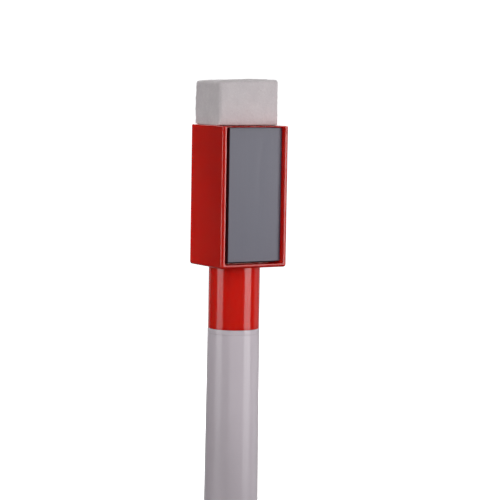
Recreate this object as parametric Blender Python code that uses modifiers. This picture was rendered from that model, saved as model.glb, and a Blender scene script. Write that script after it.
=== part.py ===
"""Slim dry-erase marker: a tapered barrel, and a cap whose head carries a magnet and a felt eraser.

The pen stands on its tail with its axis on Z. The origin is the centre of the tail's end face.
The magnet faces -Y. Units are metres.
"""

import math

import bmesh
import bpy

MM = 0.001

# Fits
TOUCH_GAP = 0.3 * MM  # between pieces that touch on the real pen
GLUE_GAP = 0.1 * MM  # on each side of a glue layer or a film

# Heights on the pen's axis, from the tail up
PLUG_HEIGHT = 6.0 * MM
SPIGOT_TOP = 14.7 * MM
BARREL_TOP = 82.65 * MM
FLANGE_TOP = 83.55 * MM
NOSE_TOP = 101.5 * MM
NIB_TIP = 105.5 * MM
HEAD_BOTTOM = 95.8 * MM
HEAD_TOP = 122.19 * MM
ERASER_TOP = 130.72 * MM

# Barrel and plug
BARREL_TAIL_RADIUS = 5.39 * MM
BARREL_MOUTH_RADIUS = 4.915 * MM
BORE_TAIL_RADIUS = 4.3 * MM
BORE_MOUTH_RADIUS = 3.85 * MM
BARREL_CHAMFER = 0.15 * MM
SPIGOT_RADIUS = BORE_TAIL_RADIUS - TOUCH_GAP
SPIGOT_LEAD_IN = 0.8 * MM
PLUG_EDGE_RADIUS = 0.9 * MM
PLUG_HOLLOW_RADIUS = 2.9 * MM
PLUG_FLOOR = 1.6 * MM

# Nib holder, nib and ink
FLANGE_THICKNESS = 0.6 * MM
NECK_RADIUS = BORE_MOUTH_RADIUS - TOUCH_GAP
NECK_LENGTH = 10.0 * MM
NECK_HOLLOW_RADIUS = 2.9 * MM
NECK_LEAD_IN = 0.3 * MM
FUNNEL_HEIGHT = 1.5 * MM
SEAT_RADIUS = 3.7 * MM
SEAT_TOP = 91.0 * MM
SNAP_RADIUS = 3.86 * MM
SNAP_HEIGHT = 86.5 * MM
SNAP_HALF_HEIGHT = 0.4 * MM
NOSE_BASE = 96.5 * MM
NOSE_BASE_RADIUS = 2.45 * MM
NOSE_TIP_RADIUS = 2.3 * MM
NOSE_CHAMFER = 0.35 * MM
NIB_RADIUS = 1.15 * MM
NIB_BORE_RADIUS = NIB_RADIUS + TOUCH_GAP
NIB_TAIL = 67.3 * MM
RESERVOIR_TOP = 72.0 * MM
RESERVOIR_RADIUS = 3.1 * MM
FILM_THICKNESS = 0.2 * MM
FILM_SHORTFALL = 0.6 * MM

# Cap shell
SLEEVE_BOTTOM = FLANGE_TOP + TOUCH_GAP
SLEEVE_RADIUS = 4.83 * MM
SLEEVE_BORE_RADIUS = 4.0 * MM
SLEEVE_CHAMFER = 0.2 * MM
HEAD_HALF_WIDTH = 7.05 * MM
HEAD_FRONT = -7.31 * MM
HEAD_BACK = 4.95 * MM
HEAD_EDGE = 0.5 * MM
CUT_OVERLAP = 1.0 * MM  # how far a joined or cutting shape runs into or past its face
SIDE_RIM = 0.8 * MM
BOTTOM_RIM = 0.85 * MM
TOP_RIM = 0.45 * MM

# Inner cap
LINER_BOTTOM = 97.2 * MM
LINER_TOP = 107.8 * MM
LINER_RADIUS = 3.5 * MM
LINER_WALL = 0.75 * MM
LINER_LEAD_IN = 0.25 * MM

# Magnet and its tape
MAGNET_RECESS = 0.95 * MM
MAGNET_THICKNESS = 1.3 * MM
MAGNET_WIDTH = 11.24 * MM
MAGNET_CENTRE_X = 0.5 * MM
MAGNET_BOTTOM = HEAD_BOTTOM + BOTTOM_RIM + TOUCH_GAP
MAGNET_TOP = HEAD_TOP - TOP_RIM - GLUE_GAP
MAGNET_EDGE = 0.1 * MM
TAPE_THICKNESS = 0.25 * MM
TAPE_MARGIN = 0.4 * MM
POCKET_FLOOR = HEAD_FRONT + MAGNET_RECESS + MAGNET_THICKNESS + TAPE_THICKNESS + 2 * GLUE_GAP

# Eraser and its socket
SOCKET_FLOOR = 112.0 * MM
SOCKET_HALF_WIDTH = 6.3 * MM
POCKET_WALL = 0.65 * MM
BACK_WALL = 0.7 * MM
SOCKET_FRONT = POCKET_FLOOR + POCKET_WALL
SOCKET_BACK = HEAD_BACK - BACK_WALL
GLUE_THICKNESS = 0.25 * MM
PAD_LEFT = -6.38 * MM
PAD_RIGHT = 6.2 * MM
PAD_FRONT = -4.85 * MM
PAD_BACK = 4.5 * MM
PAD_EDGE = 0.9 * MM
STEM_OVERLAP = 2.0 * MM

ROUND_STEPS = 48
INNER_STEPS = 24


def clear_scene():
    for item in list(bpy.data.objects):
        bpy.data.objects.remove(item, do_unlink=True)


def new_collection(name):
    found = bpy.data.collections.new(name)
    bpy.context.scene.collection.children.link(found)
    return found


def make_material(name, colour, roughness, metallic=0.0):
    made = bpy.data.materials.new(name)
    made.use_nodes = True
    shader = made.node_tree.nodes["Principled BSDF"]
    shader.inputs["Base Color"].default_value = (*colour, 1.0)
    shader.inputs["Roughness"].default_value = roughness
    shader.inputs["Metallic"].default_value = metallic
    made.diffuse_color = (*colour, 1.0)
    return made


def add_object(name, mesh, collection, material=None):
    made = bpy.data.objects.new(name, mesh)
    collection.objects.link(made)
    if material:
        mesh.materials.append(material)
    else:
        made.hide_render = True
        made.display_type = "WIRE"
    return made


def turned(name, profile, collection, material=None, steps=ROUND_STEPS):
    """A turned piece. The profile lists (radius, height), down the outer side first."""
    mesh = bpy.data.meshes.new(name)
    shape = bmesh.new()
    points = [shape.verts.new((radius, 0.0, height)) for radius, height in profile]
    for first, second in zip(points, points[1:]):
        shape.edges.new((first, second))
    if profile[0][0] > 0:
        shape.edges.new((points[-1], points[0]))
    shape.to_mesh(mesh)
    shape.free()
    made = add_object(name, mesh, collection, material)
    screw = made.modifiers.new("Turn", "SCREW")
    screw.axis = "Z"
    screw.steps = steps
    screw.render_steps = steps
    screw.use_merge_vertices = True
    screw.merge_threshold = 0.00001
    screw.use_smooth_shade = True
    return made


def block(name, low, high, collection, material=None, edge=0.0, segments=2):
    """A box between two corners, with its edges rounded."""
    mesh = bpy.data.meshes.new(name)
    shape = bmesh.new()
    bmesh.ops.create_cube(shape, size=1.0)
    bmesh.ops.scale(shape, vec=[b - a for a, b in zip(low, high)], verts=shape.verts)
    shape.to_mesh(mesh)
    shape.free()
    made = add_object(name, mesh, collection, material)
    made.location = [(a + b) / 2 for a, b in zip(low, high)]
    if edge:
        bevel = made.modifiers.new("Edges", "BEVEL")
        bevel.width = edge
        bevel.segments = segments
    return made


def combine(target, other, operation):
    boolean = target.modifiers.new(f"{operation.title()} {other.name}", "BOOLEAN")
    boolean.operation = operation
    boolean.solver = "EXACT"
    boolean.object = other


def arc(radius, height, size, start, end, steps):
    """Points on an arc about (radius, height), between two angles in degrees."""
    angles = [math.radians(start + (end - start) * k / steps) for k in range(steps + 1)]
    return [(radius + size * math.cos(a), height + size * math.sin(a)) for a in angles]


def barrel_radius(height):
    """The barrel's outer radius, which grows evenly towards the tail."""
    share = (height - PLUG_HEIGHT) / (BARREL_TOP - PLUG_HEIGHT)
    return BARREL_TAIL_RADIUS + share * (BARREL_MOUTH_RADIUS - BARREL_TAIL_RADIUS)


def make_barrel(collection, material):
    bottom = PLUG_HEIGHT + TOUCH_GAP
    profile = [
        (BARREL_MOUTH_RADIUS - BARREL_CHAMFER, BARREL_TOP),
        (BARREL_MOUTH_RADIUS, BARREL_TOP - BARREL_CHAMFER),
        (barrel_radius(bottom), bottom + BARREL_CHAMFER),
        (barrel_radius(bottom) - BARREL_CHAMFER, bottom),
        (BORE_TAIL_RADIUS, bottom),
        (BORE_MOUTH_RADIUS, BARREL_TOP),
    ]
    return turned("barrel", profile, collection, material)


def make_tail_plug(collection, material):
    """A short cup: its closed end is the tail, and its hollow spigot goes into the barrel."""
    centre = BARREL_TAIL_RADIUS - PLUG_EDGE_RADIUS
    profile = [
        (0.0, PLUG_FLOOR),
        (PLUG_HOLLOW_RADIUS, PLUG_FLOOR),
        (PLUG_HOLLOW_RADIUS, SPIGOT_TOP),
        (SPIGOT_RADIUS - SPIGOT_LEAD_IN / 2, SPIGOT_TOP),
        (SPIGOT_RADIUS, SPIGOT_TOP - SPIGOT_LEAD_IN),
        (SPIGOT_RADIUS, PLUG_HEIGHT),
        (BARREL_TAIL_RADIUS, PLUG_HEIGHT),
        *arc(centre, PLUG_EDGE_RADIUS, PLUG_EDGE_RADIUS, 0, -90, 4),
        (0.0, 0.0),
    ]
    return turned("tail_plug", profile, collection, material)


def make_nib_holder(collection, material):
    """From the nose down: cone, cap seat with its snap ridge, flange, and the neck in the barrel."""
    flange_bottom = FLANGE_TOP - FLANGE_THICKNESS
    neck_bottom = flange_bottom - NECK_LENGTH
    profile = [
        (NIB_BORE_RADIUS, NOSE_TOP),
        (NOSE_TIP_RADIUS - NOSE_CHAMFER, NOSE_TOP),
        (NOSE_TIP_RADIUS, NOSE_TOP - NOSE_CHAMFER),
        (NOSE_BASE_RADIUS, NOSE_BASE),
        (SEAT_RADIUS, SEAT_TOP),
        (SEAT_RADIUS, SNAP_HEIGHT + SNAP_HALF_HEIGHT),
        (SNAP_RADIUS, SNAP_HEIGHT),
        (SEAT_RADIUS, SNAP_HEIGHT - SNAP_HALF_HEIGHT),
        (SEAT_RADIUS, FLANGE_TOP),
        (BARREL_MOUTH_RADIUS, FLANGE_TOP),
        (BARREL_MOUTH_RADIUS, flange_bottom),
        (NECK_RADIUS, flange_bottom),
        (NECK_RADIUS, neck_bottom + NECK_LEAD_IN),
        (NECK_RADIUS - NECK_LEAD_IN, neck_bottom),
        (NECK_HOLLOW_RADIUS, neck_bottom),
        (NECK_HOLLOW_RADIUS, flange_bottom),
        (NIB_BORE_RADIUS, flange_bottom + FUNNEL_HEIGHT),
    ]
    return turned("nib_holder", profile, collection, material)


def make_nib(collection, material):
    """A round rod with a domed writing tip and a pointed tail."""
    tip = arc(0.0, NIB_TIP - NIB_RADIUS, NIB_RADIUS, 90, 0, 5)
    profile = [
        (0.0, NIB_TIP),
        *tip[1:],
        (NIB_RADIUS, NIB_TAIL + NIB_RADIUS),
        (NIB_RADIUS / 3, NIB_TAIL),
        (0.0, NIB_TAIL),
    ]
    return turned("nib", profile, collection, material, INNER_STEPS)


def make_ink_reservoir(collection, material):
    """A fibre rod, with a blind hole in its top where the nib's tail stands."""
    hole_floor = NIB_TAIL - TOUCH_GAP
    bottom = SPIGOT_TOP + TOUCH_GAP
    profile = [
        (0.0, hole_floor),
        (NIB_BORE_RADIUS, hole_floor),
        (NIB_BORE_RADIUS, RESERVOIR_TOP),
        (RESERVOIR_RADIUS, RESERVOIR_TOP),
        (RESERVOIR_RADIUS, bottom),
        (0.0, bottom),
    ]
    return turned("ink_reservoir", profile, collection, material, INNER_STEPS)


def make_reservoir_film(collection, material):
    inner = RESERVOIR_RADIUS + GLUE_GAP
    outer = inner + FILM_THICKNESS
    top = RESERVOIR_TOP - FILM_SHORTFALL
    bottom = SPIGOT_TOP + TOUCH_GAP + FILM_SHORTFALL
    profile = [(outer, top), (outer, bottom), (inner, bottom), (inner, top)]
    return turned("reservoir_film", profile, collection, material, INNER_STEPS)


def make_cap_shell(collection, cutters, material):
    """The head's block joined to the sleeve, then bored, pocketed for the magnet and socketed."""
    shell = block(
        "cap_shell",
        (-HEAD_HALF_WIDTH, HEAD_FRONT, HEAD_BOTTOM),
        (HEAD_HALF_WIDTH, HEAD_BACK, HEAD_TOP),
        collection,
        material,
        HEAD_EDGE,
        3,
    )
    sleeve_profile = [
        (0.0, HEAD_BOTTOM + CUT_OVERLAP),
        (SLEEVE_RADIUS, HEAD_BOTTOM + CUT_OVERLAP),
        (SLEEVE_RADIUS, SLEEVE_BOTTOM + SLEEVE_CHAMFER),
        (SLEEVE_RADIUS - SLEEVE_CHAMFER, SLEEVE_BOTTOM),
        (0.0, SLEEVE_BOTTOM),
    ]
    bore_profile = [
        (0.0, LINER_TOP + TOUCH_GAP),
        (LINER_RADIUS + TOUCH_GAP, LINER_TOP + TOUCH_GAP),
        (LINER_RADIUS + TOUCH_GAP, LINER_BOTTOM - TOUCH_GAP),
        (SLEEVE_BORE_RADIUS, LINER_BOTTOM - 2 * TOUCH_GAP),
        (SLEEVE_BORE_RADIUS, SLEEVE_BOTTOM + SLEEVE_CHAMFER),
        (SLEEVE_BORE_RADIUS + SLEEVE_CHAMFER, SLEEVE_BOTTOM),
        (SLEEVE_BORE_RADIUS + SLEEVE_CHAMFER, SLEEVE_BOTTOM - CUT_OVERLAP),
        (0.0, SLEEVE_BOTTOM - CUT_OVERLAP),
    ]
    pocket_half = HEAD_HALF_WIDTH - SIDE_RIM
    pocket = block(
        "magnet_pocket",
        (-pocket_half, HEAD_FRONT - CUT_OVERLAP, HEAD_BOTTOM + BOTTOM_RIM),
        (pocket_half, POCKET_FLOOR, HEAD_TOP - TOP_RIM),
        cutters,
    )
    socket = block(
        "eraser_socket",
        (-SOCKET_HALF_WIDTH, SOCKET_FRONT, SOCKET_FLOOR),
        (SOCKET_HALF_WIDTH, SOCKET_BACK, HEAD_TOP + CUT_OVERLAP),
        cutters,
    )
    combine(shell, turned("sleeve", sleeve_profile, cutters), "UNION")
    combine(shell, turned("cap_bore", bore_profile, cutters), "DIFFERENCE")
    combine(shell, pocket, "DIFFERENCE")
    combine(shell, socket, "DIFFERENCE")
    return shell


def make_inner_cap(collection, material):
    """A cup that is open at the bottom, with a lead-in at its mouth."""
    inner = LINER_RADIUS - LINER_WALL
    ceiling = LINER_TOP - LINER_WALL
    profile = [
        (0.0, LINER_TOP),
        (LINER_RADIUS - LINER_LEAD_IN, LINER_TOP),
        (LINER_RADIUS, LINER_TOP - LINER_LEAD_IN),
        (LINER_RADIUS, LINER_BOTTOM),
        (inner + LINER_LEAD_IN, LINER_BOTTOM),
        (inner, LINER_BOTTOM + LINER_LEAD_IN),
        (inner, ceiling),
        (0.0, ceiling),
    ]
    return turned("inner_cap", profile, collection, material)


def make_magnet(collection, material):
    left = MAGNET_CENTRE_X - MAGNET_WIDTH / 2
    front = HEAD_FRONT + MAGNET_RECESS
    low = (left, front, MAGNET_BOTTOM)
    high = (left + MAGNET_WIDTH, front + MAGNET_THICKNESS, MAGNET_TOP)
    return block("magnet", low, high, collection, material, MAGNET_EDGE, 1)


def make_magnet_adhesive(collection, material):
    half = MAGNET_WIDTH / 2 - TAPE_MARGIN
    back = POCKET_FLOOR - GLUE_GAP
    low = (MAGNET_CENTRE_X - half, back - TAPE_THICKNESS, MAGNET_BOTTOM + TAPE_MARGIN)
    high = (MAGNET_CENTRE_X + half, back, MAGNET_TOP - TAPE_MARGIN)
    return block("magnet_adhesive", low, high, collection, material)


def make_eraser_block(collection, cutters, material):
    """The felt pad above the head, with a stem in the socket that is narrower in front."""
    pad = block(
        "eraser_block",
        (PAD_LEFT, PAD_FRONT, HEAD_TOP + TOUCH_GAP),
        (PAD_RIGHT, PAD_BACK, ERASER_TOP),
        collection,
        material,
        PAD_EDGE,
        3,
    )
    stem_bottom = SOCKET_FLOOR + GLUE_THICKNESS + 2 * GLUE_GAP
    stem = block(
        "eraser_stem",
        (TOUCH_GAP - SOCKET_HALF_WIDTH, SOCKET_FRONT + TOUCH_GAP, stem_bottom),
        (SOCKET_HALF_WIDTH - TOUCH_GAP, SOCKET_BACK - TOUCH_GAP, HEAD_TOP + STEM_OVERLAP),
        cutters,
    )
    combine(pad, stem, "UNION")
    return pad


def make_eraser_adhesive(collection, material):
    margin = 2 * TOUCH_GAP
    bottom = SOCKET_FLOOR + GLUE_GAP
    low = (margin - SOCKET_HALF_WIDTH, SOCKET_FRONT + margin, bottom)
    high = (SOCKET_HALF_WIDTH - margin, SOCKET_BACK - margin, bottom + GLUE_THICKNESS)
    return block("eraser_adhesive", low, high, collection, material)


def add_cap_axis(pieces, collection):
    """An empty on the pen's axis at the cap's mouth, which carries the pieces that pull off."""
    axis = bpy.data.objects.new("cap_axis", None)
    axis.empty_display_size = 10 * MM
    axis.location = (0.0, 0.0, SLEEVE_BOTTOM)
    collection.objects.link(axis)
    for piece in pieces:
        piece.parent = axis
        piece.location.z -= SLEEVE_BOTTOM
    return axis


def main():
    clear_scene()
    pen = new_collection("magnetic_marker")
    cutters = new_collection("cutters")

    red = make_material("red_gloss_plastic", (0.42, 0.012, 0.008), 0.15)
    white = make_material("white_gloss_plastic", (0.62, 0.6, 0.62), 0.2)
    liner = make_material("liner_plastic", (0.75, 0.75, 0.75), 0.4)
    grey = make_material("grey_magnet", (0.18, 0.18, 0.2), 0.45)
    tape = make_material("foam_tape", (0.8, 0.8, 0.78), 0.9)
    glue = make_material("clear_glue", (0.7, 0.66, 0.5), 0.4)
    felt = make_material("white_felt", (0.6, 0.59, 0.58), 1.0)
    ink = make_material("red_inked_fibre", (0.4, 0.01, 0.01), 0.8)
    film = make_material("reservoir_film", (0.8, 0.8, 0.82), 0.2)

    make_barrel(pen, white)
    make_tail_plug(pen, red)
    make_nib_holder(pen, white)
    make_nib(pen, ink)
    make_ink_reservoir(pen, ink)
    make_reservoir_film(pen, film)

    cap_pieces = [
        make_cap_shell(pen, cutters, red),
        make_inner_cap(pen, liner),
        make_magnet(pen, grey),
        make_magnet_adhesive(pen, tape),
        make_eraser_block(pen, cutters, felt),
        make_eraser_adhesive(pen, glue),
        *cutters.objects,
    ]
    add_cap_axis(cap_pieces, pen)


main()
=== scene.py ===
import math
import random

import bmesh
import bpy
from mathutils import Matrix, Vector, noise


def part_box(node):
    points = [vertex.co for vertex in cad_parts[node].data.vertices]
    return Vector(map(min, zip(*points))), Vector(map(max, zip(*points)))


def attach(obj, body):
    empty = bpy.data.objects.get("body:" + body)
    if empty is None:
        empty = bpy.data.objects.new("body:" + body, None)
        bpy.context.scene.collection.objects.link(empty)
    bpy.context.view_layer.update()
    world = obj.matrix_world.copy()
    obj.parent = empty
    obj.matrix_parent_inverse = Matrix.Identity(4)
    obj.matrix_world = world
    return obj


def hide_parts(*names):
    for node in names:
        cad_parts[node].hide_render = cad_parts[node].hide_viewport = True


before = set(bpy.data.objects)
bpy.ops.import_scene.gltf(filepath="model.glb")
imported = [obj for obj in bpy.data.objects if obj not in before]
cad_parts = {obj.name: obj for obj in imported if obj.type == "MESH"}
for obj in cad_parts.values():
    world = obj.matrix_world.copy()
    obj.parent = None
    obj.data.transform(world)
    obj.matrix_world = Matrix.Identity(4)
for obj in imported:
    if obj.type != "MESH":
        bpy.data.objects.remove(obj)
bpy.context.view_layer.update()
mm = 0.001
print("frame loaded:", ", ".join(sorted(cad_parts)))


def hexColor(code):
    # sRGB hex to the linear values that Blender's sockets take
    channels = [int(code[i:i + 2], 16) / 255 for i in (1, 3, 5)]
    linear = [c / 12.92 if c <= 0.04045 else ((c + 0.055) / 1.055) ** 2.4 for c in channels]
    return (*linear, 1.0)


white = hexColor("#ffffff")
nearZero = 1e-9


def perMetre(sizeInMm):
    # a texture's scale, from the size of one of its features
    return 1 / (sizeInMm * mm)


def zeroToOne(value):
    return min(1.0, max(0.0, value))


def directionAt(azimuth, elevation=0):
    # azimuth 0 faces the magnet, and it grows towards +X
    turn, rise = math.radians(azimuth), math.radians(elevation)
    return Vector((math.sin(turn) * math.cos(rise), -math.cos(turn) * math.cos(rise), math.sin(rise)))


def addNode(tree, kind, inputs=None, **settings):
    # a node with its settings; inputs maps a socket's name or number to a value or to another socket
    # (a colour Mix takes its factor at 0 and its colours at 6 and 7, a plain Mix its values at 2 and 3)
    node = tree.nodes.new(kind)
    for name, value in settings.items():
        setattr(node, name, value)
    for socket, value in (inputs or {}).items():
        if isinstance(value, bpy.types.NodeSocket):
            tree.links.new(value, node.inputs[socket])
        else:
            node.inputs[socket].default_value = value
    return node


def newMaterial(name, **shader):
    # an empty material with its Principled BSDF already joined to the output
    material = bpy.data.materials.new(name)
    material.use_nodes = True
    tree = material.node_tree
    tree.nodes.clear()
    inputs = {key.replace("_", " "): value for key, value in shader.items()}
    surface = addNode(tree, "ShaderNodeBsdfPrincipled", inputs)
    addNode(tree, "ShaderNodeOutputMaterial", {"Surface": surface.outputs["BSDF"]})
    place = addNode(tree, "ShaderNodeTexCoord").outputs["Object"]
    return material, tree, surface, place


def addObject(name, data):
    thing = bpy.data.objects.new(name, data)
    bpy.context.scene.collection.objects.link(thing)
    return thing


def toMesh(shape, name):
    mesh = bpy.data.meshes.new(name)
    shape.to_mesh(mesh)
    shape.free()
    return mesh


def meshPiece(name, mesh, material, smoothAngle=32, weighted=True):
    # flat faces keep true normals beside small rounds through the weighted-normal modifier
    for polygon in mesh.polygons:
        polygon.use_smooth = True
    mesh.set_sharp_from_angle(angle=math.radians(smoothAngle))
    piece = addObject(name, mesh)
    mesh.materials.clear()
    mesh.materials.append(material)
    if weighted:
        modifier = piece.modifiers.new("Face normals", "WEIGHTED_NORMAL")
        modifier.keep_sharp = True
    return piece


def roundedPath(corners, closed=False, steps=6):
    # corners are (radius, height, fillet); each fillet becomes an arc
    path = []
    count = len(corners)
    for i, (r, z, fillet) in enumerate(corners):
        here = Vector((r, z))
        isEnd = not closed and i in (0, count - 1)
        if fillet <= 0 or isEnd:
            path.append(here)
            continue
        toLast = (Vector(corners[i - 1][:2]) - here).normalized()
        toNext = (Vector(corners[(i + 1) % count][:2]) - here).normalized()
        half = toLast.angle(toNext) / 2
        centre = here + (toLast + toNext).normalized() * fillet / math.sin(half)
        start = here + toLast * fillet / math.tan(half) - centre
        end = here + toNext * fillet / math.tan(half) - centre
        for k in range(steps + 1):
            path.append(centre + start.slerp(end, k / steps).normalized() * fillet)
    return path


def latheMesh(name, path, segments=128, closed=False):
    # turns a path of (radius, height) about the pen's axis; a point on the axis becomes one vertex
    shape = bmesh.new()
    rings = []
    for r, z in path:
        if r < nearZero:
            rings.append([shape.verts.new((0, 0, z))])
            continue
        turns = [math.tau * k / segments for k in range(segments)]
        rings.append([shape.verts.new((r * math.cos(t), r * math.sin(t), z)) for t in turns])
    pairs = list(zip(rings, rings[1:]))
    if closed:
        pairs.append((rings[-1], rings[0]))
    for upper, lower in pairs:
        for k in range(segments):
            n = (k + 1) % segments
            around = [upper[k % len(upper)], upper[n % len(upper)]]
            around += [lower[n % len(lower)], lower[k % len(lower)]]
            corners = list(dict.fromkeys(around))  # a ring of one vertex gives triangles
            if len(corners) > 2:
                shape.faces.new(corners)
    bmesh.ops.recalc_face_normals(shape, faces=shape.faces)
    return toMesh(shape, name)


def outlinePoints(halfA, halfB, corner, steps=8):
    # a rectangle with round corners, anticlockwise
    points = []
    for quarter, (signA, signB) in enumerate(((1, 1), (-1, 1), (-1, -1), (1, -1))):
        for k in range(steps + 1):
            turn = math.radians(90 * (quarter + k / steps))
            a = signA * (halfA - corner) + corner * math.cos(turn)
            b = signB * (halfB - corner) + corner * math.sin(turn)
            points.append((a, b))
    return points


def loftMesh(name, centre, halfA, halfB, corner, stations, axis="Z"):
    # a rounded rectangle carried through stations of (place along the axis, growth of the outline)
    leastCorner = 0.02 * mm
    shape = bmesh.new()
    rings = []
    for place, growth in stations:
        ring = []
        for a, b in outlinePoints(halfA + growth, halfB + growth, max(corner + growth, leastCorner)):
            at = (centre[0] + a, centre[1] + b, place)
            if axis == "Y":
                at = (centre[0] + a, place, centre[1] + b)
            ring.append(shape.verts.new(at))
        rings.append(ring)
    for lower, upper in zip(rings, rings[1:]):
        for k in range(len(lower)):
            n = (k + 1) % len(lower)
            shape.faces.new((lower[k], lower[n], upper[n], upper[k]))
    shape.faces.new(rings[0])
    shape.faces.new(rings[-1])
    bmesh.ops.recalc_face_normals(shape, faces=shape.faces)
    return toMesh(shape, name)


def quarterRound(place, size, outward, steps=6):
    # stations that round a solid's edge: the outline shrinks by size where it meets place
    turns = [math.radians(90 * k / steps) for k in range(steps + 1)]
    return [(place + outward * -size * (1 - math.cos(t)), -size * (1 - math.sin(t))) for t in turns]


def flaredRound(place, size, outward):
    # the same round on a hole's edge, where the outline grows instead
    return [(at, -growth) for at, growth in quarterRound(place, size, outward)]


def combined(name, base, tools):
    # Booleans of (mesh, operation) on the base mesh, applied
    joined = 1e-7  # points closer than this become one
    holder = addObject(name, base)
    helpers = [holder]
    for mesh, operation in tools:
        helper = addObject(mesh.name, mesh)
        helpers.append(helper)
        boolean = holder.modifiers.new(operation, "BOOLEAN")
        boolean.operation = operation
        boolean.solver = "EXACT"
        boolean.object = helper
    graph = bpy.context.evaluated_depsgraph_get()
    result = bpy.data.meshes.new_from_object(holder.evaluated_get(graph))
    for helper in helpers:
        bpy.data.objects.remove(helper)
    shape = bmesh.new()
    shape.from_mesh(result)
    bmesh.ops.dissolve_degenerate(shape, dist=joined, edges=shape.edges)
    shape.to_mesh(result)
    shape.free()
    result.name = name
    return result


# how a moulded face wears and shrinks, the same for both plastics
gloss = {
    "scuffStretch": 0.06,  # scuffs run along the pen
    "scuffStart": 0.45,
    "scuffFull": 0.75,
    "rippleStrength": 0.06,
    "rippleDepth": 0.02 * mm,
}


def finishGloss(tree, surface, place, settings):
    # the gloss of a moulded face: long fine scuffs that dull it, and a ripple left by shrinkage
    stretch = addNode(tree, "ShaderNodeMapping", {
        "Vector": place, "Scale": (1.0, 1.0, gloss["scuffStretch"])})
    scuff = addNode(tree, "ShaderNodeTexNoise", {
        "Vector": stretch.outputs["Vector"], "Scale": perMetre(settings["scuffMm"]), "Detail": 3.0})
    ripple = addNode(tree, "ShaderNodeTexNoise", {
        "Vector": place, "Scale": perMetre(settings["rippleMm"]), "Detail": 1.0})
    dulling = addNode(tree, "ShaderNodeMapRange", {
        "Value": scuff.outputs["Fac"], "From Min": gloss["scuffStart"], "From Max": gloss["scuffFull"],
        "To Min": settings["polished"], "To Max": settings["worn"]})
    bump = addNode(tree, "ShaderNodeBump", {
        "Height": ripple.outputs["Fac"],
        "Strength": gloss["rippleStrength"], "Distance": gloss["rippleDepth"]})
    tree.links.new(dulling.outputs["Result"], surface.inputs["Roughness"])
    tree.links.new(bump.outputs["Normal"], surface.inputs["Normal"])


def mouldedRed():
    # ABS moulded in a polished tool: sharp highlights over a deep red, with a soft glow under the surface;
    # the head's outer side faces and front rim carry painted shade that darkens them towards the front
    settings = {
        "red": "#ee261b",
        "deepRed": "#e42317",
        "glowDepth": 1.3 * mm,
        "glowSpread": (1.0, 0.12, 0.05),  # red light travels furthest
        "flowMm": 6.0,  # clouds left by the flow of the melt
        "rippleMm": 1.6,
        "scuffMm": 0.25,
        "polished": 0.09,
        "worn": 0.16,
        "unshadedY": 4.9 * mm,  # no painted shade from here to the back
        "fullShadeY": -5.5 * mm,  # deepest painted shade from here to the front
        # how dark the painted shade makes the red at its deepest
        "paintedShadeTone": 0.72,
        "sideStart": 6.3 * mm,  # what is further out than this is a side face of the head
        "sideFull": 6.8 * mm,
        "frontStart": -6.9 * mm,  # and what is further forward than this is its front rim
        "frontFull": -7.15 * mm,
    }
    material, tree, surface, place = newMaterial(
        "Moulded ABS, gloss red", IOR=1.53, Subsurface_Weight=1.0, Subsurface_Scale=settings["glowDepth"],
        Subsurface_Radius=settings["glowSpread"])
    flow = addNode(tree, "ShaderNodeTexNoise", {"Vector": place, "Scale": perMetre(settings["flowMm"])})
    tone = addNode(tree, "ShaderNodeMix", {
        0: flow.outputs["Fac"], 6: hexColor(settings["deepRed"]), 7: hexColor(settings["red"])},
        data_type="RGBA")
    spot = addNode(tree, "ShaderNodeSeparateXYZ", {0: place})
    # painted shade: the side faces and front rim get darker towards the front
    paintedShadeRamp = addNode(tree, "ShaderNodeMapRange", {
        "Value": spot.outputs["Y"], "From Min": settings["fullShadeY"], "From Max": settings["unshadedY"],
        "To Min": settings["paintedShadeTone"], "To Max": 1.0})
    across = addNode(tree, "ShaderNodeMath", {0: spot.outputs["X"]}, operation="ABSOLUTE")
    onSide = addNode(tree, "ShaderNodeMapRange", {
        "Value": across.outputs["Value"],
        "From Min": settings["sideStart"], "From Max": settings["sideFull"]})
    onFront = addNode(tree, "ShaderNodeMapRange", {
        "Value": spot.outputs["Y"],
        "From Min": settings["frontStart"], "From Max": settings["frontFull"]})
    outside = addNode(tree, "ShaderNodeMath", {
        0: onSide.outputs["Result"], 1: onFront.outputs["Result"]}, operation="MAXIMUM")
    strength = addNode(tree, "ShaderNodeMix", {
        0: outside.outputs["Value"], 2: 1.0, 3: paintedShadeRamp.outputs["Result"]})
    shade = addNode(tree, "ShaderNodeVectorMath", {
        0: tone.outputs[2], "Scale": strength.outputs[0]}, operation="SCALE")
    tree.links.new(shade.outputs["Vector"], surface.inputs["Base Color"])
    finishGloss(tree, surface, place, settings)
    return material


def mouldedWhite():
    # polypropylene moulded in a polished tool: a cool, slightly waxy white with sharp highlights
    settings = {
        "white": "#e4dae2",
        "shadeWhite": "#ddd3db",
        "flowMm": 9.0,
        "rippleMm": 2.2,
        "scuffMm": 0.3,
        "polished": 0.08,
        "worn": 0.15,
    }
    material, tree, surface, place = newMaterial("Moulded polypropylene, gloss white", IOR=1.49)
    flow = addNode(tree, "ShaderNodeTexNoise", {"Vector": place, "Scale": perMetre(settings["flowMm"])})
    tone = addNode(tree, "ShaderNodeMix", {
        0: flow.outputs["Fac"], 6: hexColor(settings["shadeWhite"]), 7: hexColor(settings["white"])},
        data_type="RGBA")
    tree.links.new(tone.outputs[2], surface.inputs["Base Color"])
    finishGloss(tree, surface, place, settings)
    return material


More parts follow.
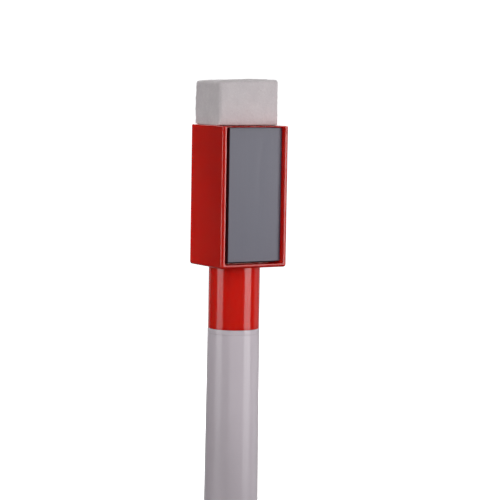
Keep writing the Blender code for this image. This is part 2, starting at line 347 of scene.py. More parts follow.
def calenderedMagnet():
    # ferrite powder in rubber, rolled into sheet and cut: grey, satin, with faint roller streaks and specks
    settings = {
        "grey": "#5f5e70",
        "darkGrey": "#565567",
        "streakMm": 0.5,
        "streakStretch": 0.05,
        "speckMm": 0.18,
        "speckShare": 0.5,
        "smooth": 0.3,
        "rough": 0.42,
        "relief": 0.01 * mm,
    }
    material, tree, surface, place = newMaterial("Calendered ferrite rubber", IOR=1.5)
    stretch = addNode(tree, "ShaderNodeMapping", {
        "Vector": place, "Scale": (1.0, 1.0, settings["streakStretch"])})
    streak = addNode(tree, "ShaderNodeTexNoise", {
        "Vector": stretch.outputs["Vector"], "Scale": perMetre(settings["streakMm"]), "Detail": 4.0})
    speck = addNode(tree, "ShaderNodeTexNoise", {
        "Vector": place, "Scale": perMetre(settings["speckMm"]), "Detail": 2.0})
    both = addNode(tree, "ShaderNodeMix", {
        0: settings["speckShare"], 2: streak.outputs["Fac"], 3: speck.outputs["Fac"]})
    tone = addNode(tree, "ShaderNodeMix", {
        0: both.outputs[0], 6: hexColor(settings["darkGrey"]), 7: hexColor(settings["grey"])},
        data_type="RGBA")
    rough = addNode(tree, "ShaderNodeMapRange", {
        "Value": both.outputs[0], "From Min": 0.3, "From Max": 0.7,
        "To Min": settings["smooth"], "To Max": settings["rough"]})
    bump = addNode(tree, "ShaderNodeBump", {
        "Height": both.outputs[0], "Strength": 0.15, "Distance": settings["relief"]})
    tree.links.new(tone.outputs[2], surface.inputs["Base Color"])
    tree.links.new(rough.outputs["Result"], surface.inputs["Roughness"])
    tree.links.new(bump.outputs["Normal"], surface.inputs["Normal"])
    return material


def pressedFelt(name, light, dark):
    # wool felt, pressed and sliced: matt and cloudy, with matted fibres; the sheen stands for the fuzz
    # that is too fine to draw
    settings = {
        "cloudMm": 2.5,
        "fibreMm": 0.22,  # drawn coarser than wool, whose fibres are too fine to show
        "fibreShare": 0.45,
        "tangle": 1.5,
        "relief": 0.05 * mm,
    }
    material, tree, surface, place = newMaterial(
        name, Roughness=1.0, IOR=1.45, Specular_IOR_Level=0.15, Sheen_Weight=0.25, Sheen_Roughness=0.6)
    cloud = addNode(tree, "ShaderNodeTexNoise", {
        "Vector": place, "Scale": perMetre(settings["cloudMm"]), "Detail": 4.0})
    fibre = addNode(tree, "ShaderNodeTexNoise", {
        "Vector": place, "Scale": perMetre(settings["fibreMm"]), "Detail": 3.0,
        "Distortion": settings["tangle"]})
    both = addNode(tree, "ShaderNodeMix", {
        0: settings["fibreShare"], 2: cloud.outputs["Fac"], 3: fibre.outputs["Fac"]})
    spread = addNode(tree, "ShaderNodeMapRange", {
        "Value": both.outputs[0], "From Min": 0.3, "From Max": 0.7})
    tone = addNode(tree, "ShaderNodeMix", {
        0: spread.outputs["Result"], 6: hexColor(dark), 7: hexColor(light)}, data_type="RGBA")
    bump = addNode(tree, "ShaderNodeBump", {
        "Height": fibre.outputs["Fac"], "Strength": 0.6, "Distance": settings["relief"]})
    tree.links.new(tone.outputs[2], surface.inputs["Base Color"])
    tree.links.new(bump.outputs["Normal"], surface.inputs["Normal"])
    return material


def inkedFibre():
    # polyester fibres bonded side by side and full of ink: dark wet red with fine lines along the rod
    settings = {
        "wetRed": "#8e0f12",
        "darkRed": "#5e070b",
        "strandMm": 0.12,  # a bundle of fibres; one fibre is too fine to show
        "strandStretch": 0.08,
        "relief": 0.03 * mm,
    }
    material, tree, surface, place = newMaterial("Bonded polyester fibre, red ink", Roughness=0.55, IOR=1.5)
    stretch = addNode(tree, "ShaderNodeMapping", {
        "Vector": place, "Scale": (1.0, 1.0, settings["strandStretch"])})
    strand = addNode(tree, "ShaderNodeTexNoise", {
        "Vector": stretch.outputs["Vector"], "Scale": perMetre(settings["strandMm"]), "Detail": 3.0})
    tone = addNode(tree, "ShaderNodeMix", {
        0: strand.outputs["Fac"], 6: hexColor(settings["darkRed"]), 7: hexColor(settings["wetRed"])},
        data_type="RGBA")
    bump = addNode(tree, "ShaderNodeBump", {
        "Height": strand.outputs["Fac"], "Strength": 0.5, "Distance": settings["relief"]})
    tree.links.new(tone.outputs[2], surface.inputs["Base Color"])
    tree.links.new(bump.outputs["Normal"], surface.inputs["Normal"])
    return material


def cloudyMaterial(name, light, dark, cloudMm, smooth, rough, **shader):
    # for pieces inside: a plain stock material with a soft unevenness of its own size
    relief = 0.02 * mm
    material, tree, surface, place = newMaterial(name, **shader)
    cloud = addNode(tree, "ShaderNodeTexNoise", {
        "Vector": place, "Scale": perMetre(cloudMm), "Detail": 3.0})
    tone = addNode(tree, "ShaderNodeMix", {
        0: cloud.outputs["Fac"], 6: hexColor(dark), 7: hexColor(light)}, data_type="RGBA")
    uneven = addNode(tree, "ShaderNodeMapRange", {
        "Value": cloud.outputs["Fac"], "To Min": smooth, "To Max": rough})
    bump = addNode(tree, "ShaderNodeBump", {
        "Height": cloud.outputs["Fac"], "Strength": 0.2, "Distance": relief})
    tree.links.new(tone.outputs[2], surface.inputs["Base Color"])
    tree.links.new(uneven.outputs["Result"], surface.inputs["Roughness"])
    tree.links.new(bump.outputs["Normal"], surface.inputs["Normal"])
    return material


redPlastic = mouldedRed()
whitePlastic = mouldedWhite()
magnetSheet = calenderedMagnet()
feltBody = pressedFelt("Pressed wool felt, white", "#e8e1e3", "#d8d0d3")
# painted light: the loose fibres get a lighter white than the felt body, to cancel the shade they catch
feltFibre = pressedFelt("Loose wool fibre, white", "#f6f1f2", "#e9e2e4")
inkFibre = inkedFibre()
# dull and dark where the knife broke through the sheet
magnetEdge = cloudyMaterial(
    "Ferrite rubber, knife-cut edge", "#2a282b", "#1d1b1e", 0.2, smooth=0.5, rough=0.7, IOR=1.5)
# waxy, neither matt nor glossy
linerPlastic = cloudyMaterial(
    "Low-density polyethylene, natural", "#dedcd8", "#d0cec9", 3.0, smooth=0.35, rough=0.5, IOR=1.51)
# chalky, with fine bubbles at the cut sides
foamTape = cloudyMaterial(
    "Acrylic foam tape, white", "#d9d8d2", "#c4c2ba", 0.3, smooth=0.8, rough=0.95, IOR=1.47)
# honey-coloured, with a wet shine
setGlue = cloudyMaterial(
    "Hot-melt glue, set", "#cdc4a0", "#b9ae86", 1.5, smooth=0.25, rough=0.45, IOR=1.48)
# hazy and bright, like any thin film over fibre
wrapFilm = cloudyMaterial(
    "Polypropylene film, milky", "#dfe0e2", "#cfd1d4", 2.0, smooth=0.15, rough=0.3, IOR=1.49)
print("materials made:", len(bpy.data.materials))


capLow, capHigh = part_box("cap_shell")
magnetLow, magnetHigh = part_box("magnet")
linerLow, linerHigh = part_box("inner_cap")
feltLow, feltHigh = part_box("eraser_block")

cap = {
    "sleeveDiameter": 9.66 * mm,
    "boreDiameter": 8.0 * mm,
    "mouthRound": 0.08 * mm,
    "headBottom": 95.8 * mm,
    "headEdge": 0.5 * mm,  # the head's upright corners
    "topEdge": 0.22 * mm,
    "bottomEdge": 0.5 * mm,
    "sideRim": 0.8 * mm,
    "bottomRim": 0.7 * mm,
    "topRim": 0.16 * mm,
    "rimRound": 0.1 * mm,
    "pocketDepth": 2.7 * mm,
    "pocketCorner": 0.25 * mm,
    "linerGap": 0.3 * mm,
    "socketHalfWidth": 6.3 * mm,
    "socketCorner": 0.7 * mm,
    "socketFloor": 112.0 * mm,
    "pocketWall": 0.65 * mm,  # between the magnet's pocket and the felt's socket
    "backWall": 0.7 * mm,
}


def makeCapShell():
    # the head with the sleeve joined on, then bored and given the magnet's pocket and the felt's socket
    past = 1.0 * mm  # how far a tool runs past the face that it cuts
    halfX = (capHigh.x - capLow.x) / 2
    halfY = (capHigh.y - capLow.y) / 2
    middle = ((capHigh.x + capLow.x) / 2, (capHigh.y + capLow.y) / 2)
    stations = quarterRound(cap["headBottom"], cap["bottomEdge"], -1)
    stations += reversed(quarterRound(capHigh.z, cap["topEdge"], 1))
    head = loftMesh("head", middle, halfX, halfY, cap["headEdge"], stations)

    outer, bore, mouth = cap["sleeveDiameter"] / 2, cap["boreDiameter"] / 2, cap["mouthRound"]
    sleevePath = roundedPath([
        (0, cap["headBottom"] + past, 0),
        (outer, cap["headBottom"] + past, 0),
        (outer, capLow.z, mouth),
        (0, capLow.z, 0),
    ])
    seatRadius, seatTop = linerHigh.x + cap["linerGap"], linerHigh.z + cap["linerGap"]
    borePath = roundedPath([
        (0, seatTop, 0),
        (seatRadius, seatTop, 0),
        (seatRadius, linerLow.z - cap["linerGap"], 0),
        (bore, linerLow.z - 2 * cap["linerGap"], 0),
        (bore, capLow.z, 0),
        (bore + mouth, capLow.z - past, 0),
        (0, capLow.z - past, 0),
    ])

    rim = cap["rimRound"]
    pocketLow = cap["headBottom"] + cap["bottomRim"]
    pocketHigh = capHigh.z - cap["topRim"]
    pocketStations = [(capLow.y - past, rim)]
    pocketStations += flaredRound(capLow.y, rim, -1)
    pocketStations.append((capLow.y + cap["pocketDepth"], 0))
    pocket = loftMesh(
        "pocket", (middle[0], (pocketLow + pocketHigh) / 2), halfX - cap["sideRim"],
        (pocketHigh - pocketLow) / 2, cap["pocketCorner"], pocketStations, axis="Y")

    socketFront = capLow.y + cap["pocketDepth"] + cap["pocketWall"]
    socketBack = capHigh.y - cap["backWall"]
    socketStations = [(cap["socketFloor"], 0)]
    socketStations += reversed(flaredRound(capHigh.z, rim, 1))
    socketStations.append((capHigh.z + past, rim))
    socket = loftMesh(
        "socket", (0, (socketFront + socketBack) / 2), cap["socketHalfWidth"],
        (socketBack - socketFront) / 2, cap["socketCorner"], socketStations)

    mesh = combined("capShell", head, [
        (latheMesh("sleeve", sleevePath), "UNION"),
        (latheMesh("bore", borePath), "DIFFERENCE"),
        (pocket, "DIFFERENCE"),
        (socket, "DIFFERENCE"),
    ])
    piece = meshPiece("capShell", mesh, redPlastic)
    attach(piece, "cap")
    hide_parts("cap_shell")


makeCapShell()
print("cap shell made")


magnet = {
    "edge": 0.05 * mm,
    "corner": 0.12 * mm,
    "belowTop": 0.36 * mm,  # from the head's top down to the plate
    "cutZone": 0.13 * mm,  # the lower edge, which the knife left sloping
    "cutSlope": 0.27,
}


def makeMagnet():
    top = capHigh.z - magnet["belowTop"]
    middle = ((magnetLow.x + magnetHigh.x) / 2, (magnetLow.z + top) / 2)
    stations = quarterRound(magnetLow.y, magnet["edge"], -1, steps=3)
    stations += reversed(quarterRound(magnetHigh.y, magnet["edge"], 1, steps=3))
    mesh = loftMesh(
        "magnetPlate", middle, (magnetHigh.x - magnetLow.x) / 2, (top - magnetLow.z) / 2,
        magnet["corner"], stations, axis="Y")
    for vert in mesh.vertices:
        if vert.co.z < magnetLow.z + magnet["cutZone"]:
            vert.co.z -= magnet["cutSlope"] * (vert.co.y - magnetLow.y)
    piece = meshPiece("magnetPlate", mesh, magnetSheet)
    mesh.materials.append(magnetEdge)
    for polygon in mesh.polygons:
        if abs(polygon.normal.y) < 0.5:  # the cut sides, not the rolled faces
            polygon.material_index = 1
    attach(piece, "cap")
    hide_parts("magnet")


makeMagnet()
print("magnet made")


def turnedPiece(name, corners, material, body, node, closed=False, segments=128):
    mesh = latheMesh(name, roundedPath(corners, closed), segments, closed)
    piece = meshPiece(name, mesh, material)
    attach(piece, body)
    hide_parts(node)


barrelLow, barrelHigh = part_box("barrel")
holderLow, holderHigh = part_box("nib_holder")
nibLow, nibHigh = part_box("nib")
plugLow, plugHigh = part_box("tail_plug")

# the CAD leaves 0.3 mm between pieces that touch; here they meet with a hairline
hairline = 0.015 * mm

barrel = {
    "mouthRadius": 4.915 * mm,
    "mouthHeight": 82.95 * mm,
    "boreTail": 4.3 * mm,
    "boreMouth": 3.85 * mm,
    "edge": 0.04 * mm,
}
barrelTop = barrel["mouthHeight"] - hairline
turnedPiece("barrelTube", [
    (barrel["mouthRadius"], barrelTop, barrel["edge"]),
    (barrelHigh.x, barrelLow.z, barrel["edge"]),
    (barrel["boreTail"], barrelLow.z, barrel["edge"]),
    (barrel["boreMouth"], barrelTop, barrel["edge"]),
], whitePlastic, "pen", "barrel", closed=True, segments=160)

plug = {
    "edge": 0.9 * mm,
    "spigotRadius": 4.0 * mm,
    "spigotRound": 0.4 * mm,
    "hollowRadius": 2.9 * mm,
    "hollowRound": 0.4 * mm,
    "lipRound": 0.15 * mm,
    "shoulder": 6.0 * mm,
    "shoulderRound": 0.1 * mm,
    "floor": 1.6 * mm,
    "gateRadius": 0.7 * mm,  # the dimple where the plastic came into the mould
    "gateDepth": 0.15 * mm,
    "gateTaper": 0.7,
    "gateRound": 0.05 * mm,
}
turnedPiece("tailPlug", [
    (0, plug["floor"], 0),
    (plug["hollowRadius"], plug["floor"], plug["hollowRound"]),
    (plug["hollowRadius"], plugHigh.z, plug["lipRound"]),
    (plug["spigotRadius"], plugHigh.z, plug["spigotRound"]),
    (plug["spigotRadius"], plug["shoulder"], plug["shoulderRound"]),
    (plugHigh.x, plug["shoulder"], plug["shoulderRound"]),
    (plugHigh.x, plugLow.z, plug["edge"]),
    (plug["gateRadius"], plugLow.z, plug["gateRound"]),
    (plug["gateRadius"] * plug["gateTaper"], plug["gateDepth"], plug["gateRound"]),
    (0, plug["gateDepth"], 0),
], redPlastic, "pen", "tail_plug")

holder = {
    "flangeRadius": 4.915 * mm,
    "flangeTop": capLow.z - hairline,
    "flangeBottom": barrel["mouthHeight"],
    "flangeTopRound": 0.06 * mm,
    "flangeBottomRound": 0.04 * mm,
    "seatRadius": 3.7 * mm,
    "seatTop": 91.0 * mm,
    "seatRound": 0.5 * mm,
    "snapRadius": 3.86 * mm,  # the ridge that the cap clicks over
    "snapHeight": 86.5 * mm,
    "snapHalfWidth": 0.4 * mm,
    "snapRound": 0.15 * mm,
    "snapFoot": 0.2 * mm,
    "noseBase": 96.5 * mm,
    "noseBaseRadius": 2.45 * mm,
    "noseBaseRound": 0.6 * mm,
    "noseRadius": 2.3 * mm,
    "noseRound": 0.35 * mm,
    "neckRadius": 3.55 * mm,
    "neckHollow": 2.9 * mm,
    "neckRound": 0.3 * mm,
    "hollowRound": 0.4 * mm,
    "nibBore": 1.45 * mm,
    "funnel": 1.5 * mm,
    "funnelRound": 0.3 * mm,
    "fine": 0.1 * mm,  # the round of its other edges
}
fine, seatRadius, snapHeight = holder["fine"], holder["seatRadius"], holder["snapHeight"]
turnedPiece("nibHolder", [
    (holder["nibBore"], holderHigh.z, fine),
    (holder["noseRadius"], holderHigh.z, holder["noseRound"]),
    (holder["noseBaseRadius"], holder["noseBase"], holder["noseBaseRound"]),
    (seatRadius, holder["seatTop"], holder["seatRound"]),
    (seatRadius, snapHeight + holder["snapHalfWidth"], holder["snapFoot"]),
    (holder["snapRadius"], snapHeight, holder["snapRound"]),
    (seatRadius, snapHeight - holder["snapHalfWidth"], holder["snapFoot"]),
    (seatRadius, holder["flangeTop"], fine),
    (holder["flangeRadius"], holder["flangeTop"], holder["flangeTopRound"]),
    (holder["flangeRadius"], holder["flangeBottom"], holder["flangeBottomRound"]),
    (holder["neckRadius"], holder["flangeBottom"], fine),
    (holder["neckRadius"], holderLow.z, holder["neckRound"]),
    (holder["neckHollow"], holderLow.z, fine),
    (holder["neckHollow"], holder["flangeBottom"], holder["hollowRound"]),
    (holder["nibBore"], holder["flangeBottom"] + holder["funnel"], holder["funnelRound"]),
], whitePlastic, "pen", "nib_holder", closed=True)

nib = {
    "radius": 1.15 * mm,
    "dome": 1.05 * mm,
    "tailRadius": 0.4 * mm,
    "shoulderRound": 0.3 * mm,
    "tailRound": 0.1 * mm,
}
turnedPiece("nibRod", [
    (0, nibHigh.z, 0),
    (nib["radius"], nibHigh.z, nib["dome"]),
    (nib["radius"], nibLow.z + nib["radius"], nib["shoulderRound"]),
    (nib["tailRadius"], nibLow.z, nib["tailRound"]),
    (0, nibLow.z, 0),
], inkFibre, "pen", "nib", segments=64)

liner = {"wall": 0.75 * mm, "leadIn": 0.25 * mm, "mouthRound": 0.1 * mm, "roofRound": 0.4 * mm}
linerInside, linerRoof = linerHigh.x - liner["wall"], linerHigh.z - liner["wall"]
turnedPiece("innerCap", [
    (0, linerHigh.z, 0),
    (linerHigh.x, linerHigh.z, liner["leadIn"]),
    (linerHigh.x, linerLow.z, liner["mouthRound"]),
    (linerInside, linerLow.z, liner["leadIn"]),
    (linerInside, linerRoof, liner["roofRound"]),
    (0, linerRoof, 0),
], linerPlastic, "cap", "inner_cap", segments=96)
print("turned pieces made")


felt = {
    "cuts": 72,
    "stemShare": 0.15,  # the part of the block's rows that goes into the socket
    "edgeRound": 0.6 * mm,
    "topSlope": 0.028,
    "spread": 0.12 * mm,
    "stemFront": -3.85 * mm,
    "stemBack": 4.1 * mm,
    "stemHalfWidth": 6.15 * mm,
    "swellStart": 0.01 * mm,  # how far above the rim the felt begins to swell
    "swellHeight": 0.06 * mm,
    "lumpMm": 3.0,
    "lump": 0.1 * mm,
    "grainMm": 0.45,
    "grain": 0.045 * mm,
    "grainDetail": (0.6, 2.0, 3),  # falloff, step from layer to layer, number of layers
    "evenHeight": 0.5 * mm,  # the unevenness is complete this far above the rim
    "seed": 7,
    "fibres": 3200,
    "fibreStart": 0.25 * mm,  # no fibre grows closer to the rim
    "fibreRoot": 0.03 * mm,
    "fibreRadius": 0.014 * mm,
    "fibreLength": (0.35 * mm, 1.0 * mm),
    "fibreLift": (0.05, 0.45),
    "fibreSteps": 5,
    "fibreSides": 3,
    "strays": 70,  # longer fibres that stand out further
    "strayLength": (1.0 * mm, 1.9 * mm),
    "strayLift": (0.15, 0.7),
    "curl": 1.2,
    "droop": 1.4,
    "taper": 0.75,
}


def feltSection(z):
    # the block's sides at a height: squeezed in the socket, swollen as soon as it is above the rim
    t = zeroToOne((z - capHigh.z - felt["swellStart"]) / felt["swellHeight"])
    swell = math.sqrt(1 - (1 - t) ** 2)
    left = -felt["stemHalfWidth"] + swell * (feltLow.x - felt["spread"] + felt["stemHalfWidth"])
    right = felt["stemHalfWidth"] + swell * (feltHigh.x - felt["stemHalfWidth"])
    front = felt["stemFront"] + swell * (feltLow.y - felt["stemFront"])
    back = felt["stemBack"] + swell * (feltHigh.y + felt["spread"] - felt["stemBack"])
    return left, right, front, back


def feltPoint(u, v, w):
    # a point of the cube's skin carried onto the block: rounded first, then fitted to its section
    halfX, halfY = (feltHigh.x - feltLow.x) / 2, (feltHigh.y - feltLow.y) / 2
    r, share = felt["edgeRound"], felt["stemShare"]
    along = (w + 1) / 2
    if along < share:
        z = feltLow.z + along / share * (capHigh.z - feltLow.z)
    else:
        z = capHigh.z + (along - share) / (1 - share) * (feltHigh.z - capHigh.z)
    at = Vector((u * halfX, v * halfY, z))
    core = Vector((
        max(-halfX + r, min(halfX - r, at.x)),
        max(-halfY + r, min(halfY - r, at.y)),
        max(feltLow.z + r, min(feltHigh.z - r, at.z)),
    ))
    away = at - core
    if away.length > nearZero:
        at = core + away.normalized() * r
    left, right, front, back = feltSection(at.z)
    x = left + (at.x / halfX + 1) / 2 * (right - left)
    y = front + (at.y / halfY + 1) / 2 * (back - front)
    rise = max(0.0, (at.z - capHigh.z) / (feltHigh.z - capHigh.z))
    return Vector((x, y, at.z - felt["topSlope"] * rise * (feltHigh.x - x)))


def makeFelt():
    shape = bmesh.new()
    bmesh.ops.create_cube(shape, size=2.0)
    bmesh.ops.subdivide_edges(shape, edges=shape.edges, cuts=felt["cuts"], use_grid_fill=True)
    for vert in shape.verts:
        vert.co = feltPoint(*vert.co)
    shape.normal_update()
    lumpScale, grainScale = perMetre(felt["lumpMm"]), perMetre(felt["grainMm"])
    moves = []
    for vert in shape.verts:
        lump = noise.noise(vert.co * lumpScale) * felt["lump"]
        grain = noise.fractal(vert.co * grainScale, *felt["grainDetail"]) * felt["grain"]
        above = zeroToOne((vert.co.z - capHigh.z) / felt["evenHeight"])
        moves.append(vert.normal * (lump + grain) * above)
    for vert, move in zip(shape.verts, moves):
        vert.co += move
    piece = meshPiece("eraserFelt", toMesh(shape, "eraserFelt"), feltBody, smoothAngle=180, weighted=False)
    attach(piece, "cap")
    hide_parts("eraser_block")
    return piece


def growFibre(shape, root, normal, heading, lift, length, curl):
    # one bent, tapered thread: a closed three-sided tube that rises from the felt and droops back
    steps, sides = felt["fibreSteps"], felt["fibreSides"]
    at = root
    rings = []
    for k in range(steps + 1):
        t = k / steps
        turned = Matrix.Rotation(curl * t, 3, normal) @ heading
        direction = (turned + normal * lift * (1 - felt["droop"] * t)).normalized()
        if k:
            at = at + direction * length / steps
        radius = felt["fibreRadius"] * (1 - felt["taper"] * t)
        across = direction.orthogonal().normalized()
        ring = []
        for n in range(sides):
            spoke = Matrix.Rotation(math.tau * n / sides, 3, direction) @ across
            ring.append(shape.verts.new(at + spoke * radius))
        rings.append(ring)
    for lower, upper in zip(rings, rings[1:]):
        for n in range(sides):
            m = (n + 1) % sides
            shape.faces.new((lower[n], lower[m], upper[m], upper[n]))
    shape.faces.new(rings[0][::-1])
    shape.faces.new(rings[-1])


def makeFibres(block):
    # loose ends that stand a little off the felt
    draw = random.Random(felt["seed"])
    faces = [f for f in block.data.polygons if f.center.z > capHigh.z + felt["fibreStart"]]
    weights = [f.area for f in faces]
    shape = bmesh.new()
    for number, face in enumerate(draw.choices(faces, weights, k=felt["fibres"] + felt["strays"])):
        kind = "stray" if number >= felt["fibres"] else "fibre"
        normal = face.normal.copy()
        side = normal.orthogonal().normalized()
        heading = Matrix.Rotation(draw.uniform(0, math.tau), 3, normal) @ side
        lift = draw.uniform(*felt[kind + "Lift"])
        length = draw.uniform(*felt[kind + "Length"])
        curl = draw.uniform(-felt["curl"], felt["curl"])
        growFibre(shape, face.center - normal * felt["fibreRoot"], normal, heading, lift, length, curl)
    mesh = toMesh(shape, "eraserFibres")
    piece = meshPiece("eraserFibres", mesh, feltFibre, smoothAngle=180, weighted=False)
    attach(piece, "cap")


makeFibres(makeFelt())
print("felt eraser made")


# these stay as the CAD has them, hidden inside
innerMaterials = {
    "magnet_adhesive": foamTape,
    "eraser_adhesive": setGlue,
    "ink_reservoir": inkFibre,
    "reservoir_film": wrapFilm,
}
for node, material in innerMaterials.items():
    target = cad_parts[node]
    target.data.materials.clear()
    target.data.materials.append(material)
print("inner pieces given their materials")


studio = {
    "floorHalf": 4.0,  # metres
    "floorDrop": 0.05 * mm,
    "floorWhite": "#f4f4f4",
    "nearGlow": 0.35,
    "farGlow": 1.1,
    "glowRadius": 0.45,
    "seenWhite": 1.1,  # the surround, as the camera sees it
    "ambient": 0.08,  # as it lights the pen
    "mirrorAmbient": 0.05,  # as the gloss mirrors it
    "flagBlack": "#101010",
}


def makeFloor():
    # a pale sweep with a painted glow, weaker near the pen and stronger further out; it is clear from below
    # and sheds no light on the pen
    shape = bmesh.new()
    bmesh.ops.create_grid(shape, x_segments=2, y_segments=2, size=studio["floorHalf"])
    bmesh.ops.translate(shape, verts=shape.verts, vec=(0, 0, -studio["floorDrop"]))
    floor = addObject("floor", toMesh(shape, "floor"))
    material, tree, surface, place = newMaterial(
        "Floor, painted glow", Base_Color=hexColor(studio["floorWhite"]), Roughness=0.9,
        Emission_Color=white)
    distance = addNode(tree, "ShaderNodeVectorMath", {0: place}, operation="LENGTH")
    glow = addNode(tree, "ShaderNodeMapRange", {
        "Value": distance.outputs["Value"], "From Max": studio["glowRadius"],
        "To Min": studio["nearGlow"], "To Max": studio["farGlow"]})
    tree.links.new(glow.outputs["Result"], surface.inputs["Emission Strength"])
    clear = addNode(tree, "ShaderNodeBsdfTransparent")
    side = addNode(tree, "ShaderNodeNewGeometry")
    mix = addNode(tree, "ShaderNodeMixShader", {
        0: side.outputs["Backfacing"], 1: surface.outputs["BSDF"], 2: clear.outputs["BSDF"]})
    output = next(n for n in tree.nodes if n.type == "OUTPUT_MATERIAL")
    tree.links.new(mix.outputs["Shader"], output.inputs["Surface"])
    floor.data.materials.append(material)
    floor.visible_diffuse = False
    floor.visible_glossy = False


def makeSurround():
    # white to the camera and dim grey to the pen: a white studio kept out of its own reflections
    world = bpy.data.worlds.new("studio")
    bpy.context.scene.world = world
    world.use_nodes = True
    tree = world.node_tree
    tree.nodes.clear()
    seen, fill, mirrored = [
        addNode(tree, "ShaderNodeBackground", {"Color": white, "Strength": studio[key]}).outputs[0]
        for key in ("seenWhite", "ambient", "mirrorAmbient")]
    ray = addNode(tree, "ShaderNodeLightPath")
    light = addNode(tree, "ShaderNodeMixShader", {0: ray.outputs["Is Glossy Ray"], 1: fill, 2: mirrored})
    mix = addNode(tree, "ShaderNodeMixShader", {
        0: ray.outputs["Is Camera Ray"], 1: light.outputs["Shader"], 2: seen})
    addNode(tree, "ShaderNodeOutputWorld", {"Surface": mix.outputs["Shader"]})


# what a softbox has unless its own row says otherwise; foot is how bright its lower edge is, and full is
# how far up it reaches its whole brightness
plainBox = {"elevation": 0, "foot": 1.0, "full": 1.0, "diffuse": True, "glossy": True}

# angles in degrees, lengths in metres; the two strips make the upright highlights, and each is dimmer
# towards its foot, so the pen fades downwards; the left one shows only in reflections, and leftFill
# lights the pen from the same side
softboxes = [
    {"name": "leftStrip", "azimuth": -95.6, "distance": 0.16, "middle": 0.07,
     "width": 0.088, "height": 0.13, "radiance": 4.1, "foot": 0.0, "full": 0.95, "diffuse": False},
    {"name": "leftFill", "azimuth": -95.6, "distance": 0.16, "middle": 0.115,
     "width": 0.088, "height": 0.1, "radiance": 5.2, "glossy": False},
    {"name": "rightStrip", "azimuth": 33.9, "distance": 0.16, "middle": 0.0775,
     "width": 0.0915, "height": 0.155, "radiance": 4.65, "foot": 0.0, "full": 0.72},
    {"name": "sideCard", "azimuth": 86.0, "distance": 0.3, "middle": 0.07,
     "width": 0.13, "height": 0.2, "radiance": 0.36},
    {"name": "frontCard", "azimuth": -32.0, "elevation": 32, "distance": 0.35, "middle": 0.09,
     "width": 0.4, "height": 0.3, "radiance": 1.2},
    {"name": "backdrop", "azimuth": 150.0, "distance": 0.5, "middle": 0.1,
     "width": 0.95, "height": 0.6, "radiance": 0.3},
    {"name": "backCard", "azimuth": 150.0, "elevation": 35, "distance": 0.6, "middle": 0.07,
     "width": 0.7, "height": 0.5, "radiance": 2.6},
]


def makeSoftbox(given):
    # a softbox that faces the pen; its power is worked out from the brightness of its face
    box = {**plainBox, **given}
    light = bpy.data.lights.new(box["name"], "AREA")
    light.shape = "RECTANGLE"
    light.size, light.size_y = box["width"], box["height"]
    light.energy = box["radiance"] * math.pi * box["width"] * box["height"]
    light.use_nodes = True
    tree = light.node_tree
    tree.nodes.clear()
    face = addNode(tree, "ShaderNodeNewGeometry")
    spot = addNode(tree, "ShaderNodeSeparateXYZ", {0: face.outputs["Parametric"]})
    fade = addNode(tree, "ShaderNodeMapRange", {
        "Value": spot.outputs["Y"], "From Max": box["full"], "To Min": box["foot"], "To Max": 1.0})
    glow = addNode(tree, "ShaderNodeEmission", {"Strength": fade.outputs["Result"]})
    addNode(tree, "ShaderNodeOutputLight", {"Surface": glow.outputs["Emission"]})
    lamp = addObject(box["name"], light)
    away = directionAt(box["azimuth"], box["elevation"])
    lamp.location = away * box["distance"] + Vector((0, 0, box["middle"]))
    lamp.rotation_mode = "QUATERNION"
    lamp.rotation_quaternion = away.to_track_quat("Z", "Y")
    lamp.visible_camera = False
    lamp.visible_diffuse = box["diffuse"]
    lamp.visible_glossy = box["glossy"]


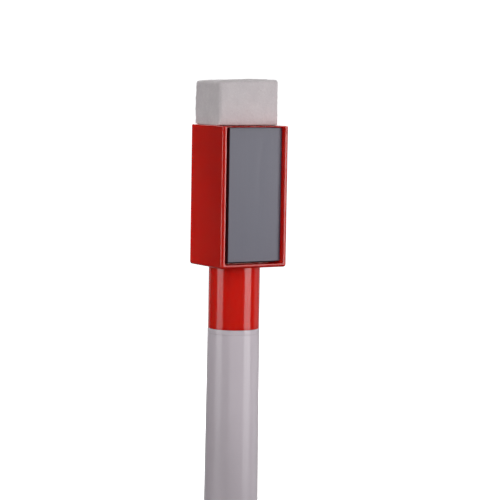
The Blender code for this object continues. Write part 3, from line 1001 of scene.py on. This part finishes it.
# near and far are the card's edges, measured out from the pen's axis; feltFlag stands upright
flags = [
    {"name": "frontFlag", "azimuth": -32.0, "halfWidth": 55 * mm,
     "near": 35 * mm, "far": 85 * mm, "nearHeight": 75 * mm, "farHeight": 75 * mm},
    {"name": "leftFlag", "azimuth": -95.6, "halfWidth": 20 * mm,
     "near": 60 * mm, "far": 105 * mm, "nearHeight": 97.5 * mm, "farHeight": 97.5 * mm},
    {"name": "feltFlag", "azimuth": -95.6, "halfWidth": 40 * mm,
     "near": 60 * mm, "far": 60 * mm, "nearHeight": 130 * mm, "farHeight": 160 * mm},
]


def makeFlag(flag):
    # a black card that keeps part of a light off the lower barrel or the felt; only its shadow shows
    away = directionAt(flag["azimuth"])
    side = away.cross(Vector((0, 0, 1)))
    corners = []
    for reach, across in (("near", -1), ("far", -1), ("far", 1), ("near", 1)):
        height = Vector((0, 0, flag[reach + "Height"]))
        corners.append(away * flag[reach] + side * across * flag["halfWidth"] + height)
    mesh = bpy.data.meshes.new(flag["name"])
    mesh.from_pydata(corners, [], [(0, 1, 2, 3)])
    mesh.materials.append(foamBoard)
    card = addObject(flag["name"], mesh)
    card.visible_camera = False
    card.visible_diffuse = False
    card.visible_glossy = False


shot = {
    "azimuth": -30.58,
    "elevation": 5.07,
    "distance": 409.3 * mm,
    "roll": 0.947,  # degrees, like the two angles above
    "lens": 156.2,  # focal length and sensor width in millimetres
    "sensor": 36,
    "clipStart": 10 * mm,
    "lookHeight": 98.62 * mm,
    "lookAside": 2.89 * mm,
}


def makeCamera():
    back = directionAt(shot["azimuth"], shot["elevation"])
    right = (-back).cross(Vector((0, 0, 1))).normalized()
    camera = addObject("camera", bpy.data.cameras.new("camera"))
    camera.data.lens = shot["lens"]
    camera.data.sensor_width = shot["sensor"]
    camera.data.clip_start = shot["clipStart"]
    aim = Vector((0, 0, shot["lookHeight"])) + right * shot["lookAside"]
    camera.location = aim + back * shot["distance"]
    camera.rotation_mode = "QUATERNION"
    roll = Matrix.Rotation(math.radians(shot["roll"]), 3, back)
    upright = (-back).to_track_quat("-Z", "Y").to_matrix()
    camera.rotation_quaternion = (roll @ upright).to_quaternion()
    bpy.context.scene.camera = camera


makeFloor()
makeSurround()
for box in softboxes:
    makeSoftbox(box)
# matt black, and never seen: only its shadow counts
foamBoard = newMaterial(
    "Black foam board", Base_Color=hexColor(studio["flagBlack"]), Roughness=0.95)[0]
for flag in flags:
    makeFlag(flag)
makeCamera()
bpy.context.scene.view_settings.view_transform = "Standard"
print("studio made")
